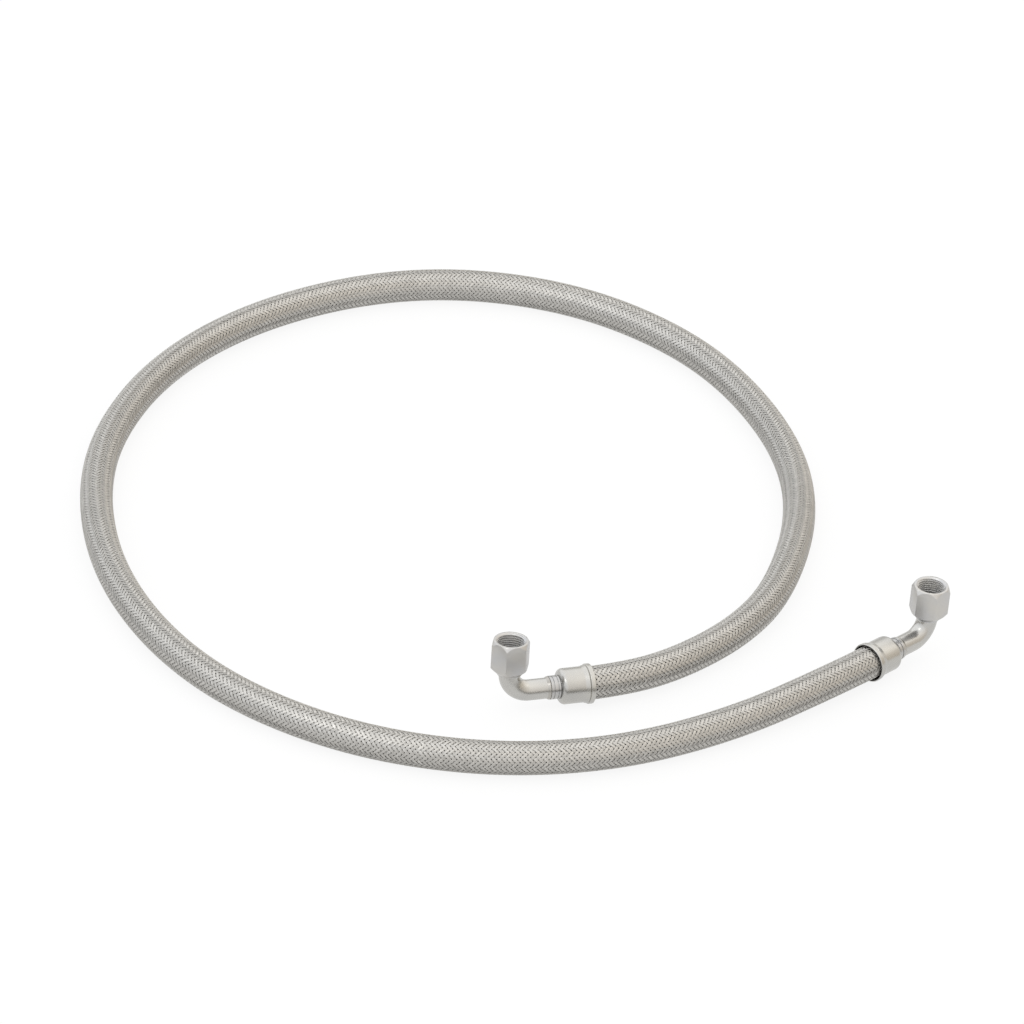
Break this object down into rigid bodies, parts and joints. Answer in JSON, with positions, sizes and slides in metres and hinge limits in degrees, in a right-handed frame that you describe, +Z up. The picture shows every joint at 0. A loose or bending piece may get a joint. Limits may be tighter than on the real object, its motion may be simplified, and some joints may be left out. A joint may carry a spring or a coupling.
{
  "type": "hydraulic hose assembly",
  "caption": "Wire-braided hydraulic hose lying in an open loop, with a crimped ferrule, a right-angle bent tube and a free-turning hexagonal swivel nut at each end.",
  "frame": {"origin": "on the surface it lies on, under the middle of its bounding box", "axes": "+Z up, +X from the left of the loop to the free right-hand fitting, +Y from the fittings' side to the far side of the loop"},
  "size_m": [0.5695, 0.6025, 0.0513],
  "materials": {
    "braid_wire": "braided bright stainless wire, worn satin",
    "core_rubber": "black rubber, matt",
    "crimped_steel": "stainless steel, drawn and crimped, satin",
    "turned_steel": "stainless steel, turned",
    "tube_steel": "stainless steel tube, smooth satin",
    "nut_steel": "stainless steel, machined, smooth",
    "spring_wire": "drawn stainless wire",
    "braze": "brazed fillet, slightly dull"
  },
  "bodies": {
    "hose_line": {"hose_core_tube": "core_rubber", "hose_inner_braid": "braid_wire", "hose_friction_layer": "core_rubber", "hose_outer_braid": "braid_wire", "ferrule_a": "crimped_steel", "nipple_a": "turned_steel", "elbow_tube_a": "tube_steel", "collar_braze_a": "braze", "swivel_seat_a": "turned_steel", "seat_braze_a": "braze", "thrust_wire_a": "spring_wire", "ferrule_b": "crimped_steel", "nipple_b": "turned_steel", "elbow_tube_b": "tube_steel", "collar_braze_b": "braze", "swivel_seat_b": "turned_steel", "seat_braze_b": "braze", "thrust_wire_b": "spring_wire"},
    "nut_a": {"swivel_nut_a": "nut_steel"},
    "nut_b": {"swivel_nut_b": "nut_steel"}
  },
  "joints": [
    {"name": "nut_a_swivel", "type": "hinge", "parent": "hose_line", "child": "nut_a", "pos_m": [0.0074, -0.216, 0.0129], "axis": [-0.0305, 0.0816, 0.9962], "continuous": true},
    {"name": "nut_b_swivel", "type": "hinge", "parent": "hose_line", "child": "nut_b", "pos_m": [0.2721, -0.1013, 0.0129], "axis": [0, 0, 1], "continuous": true}
  ]
}
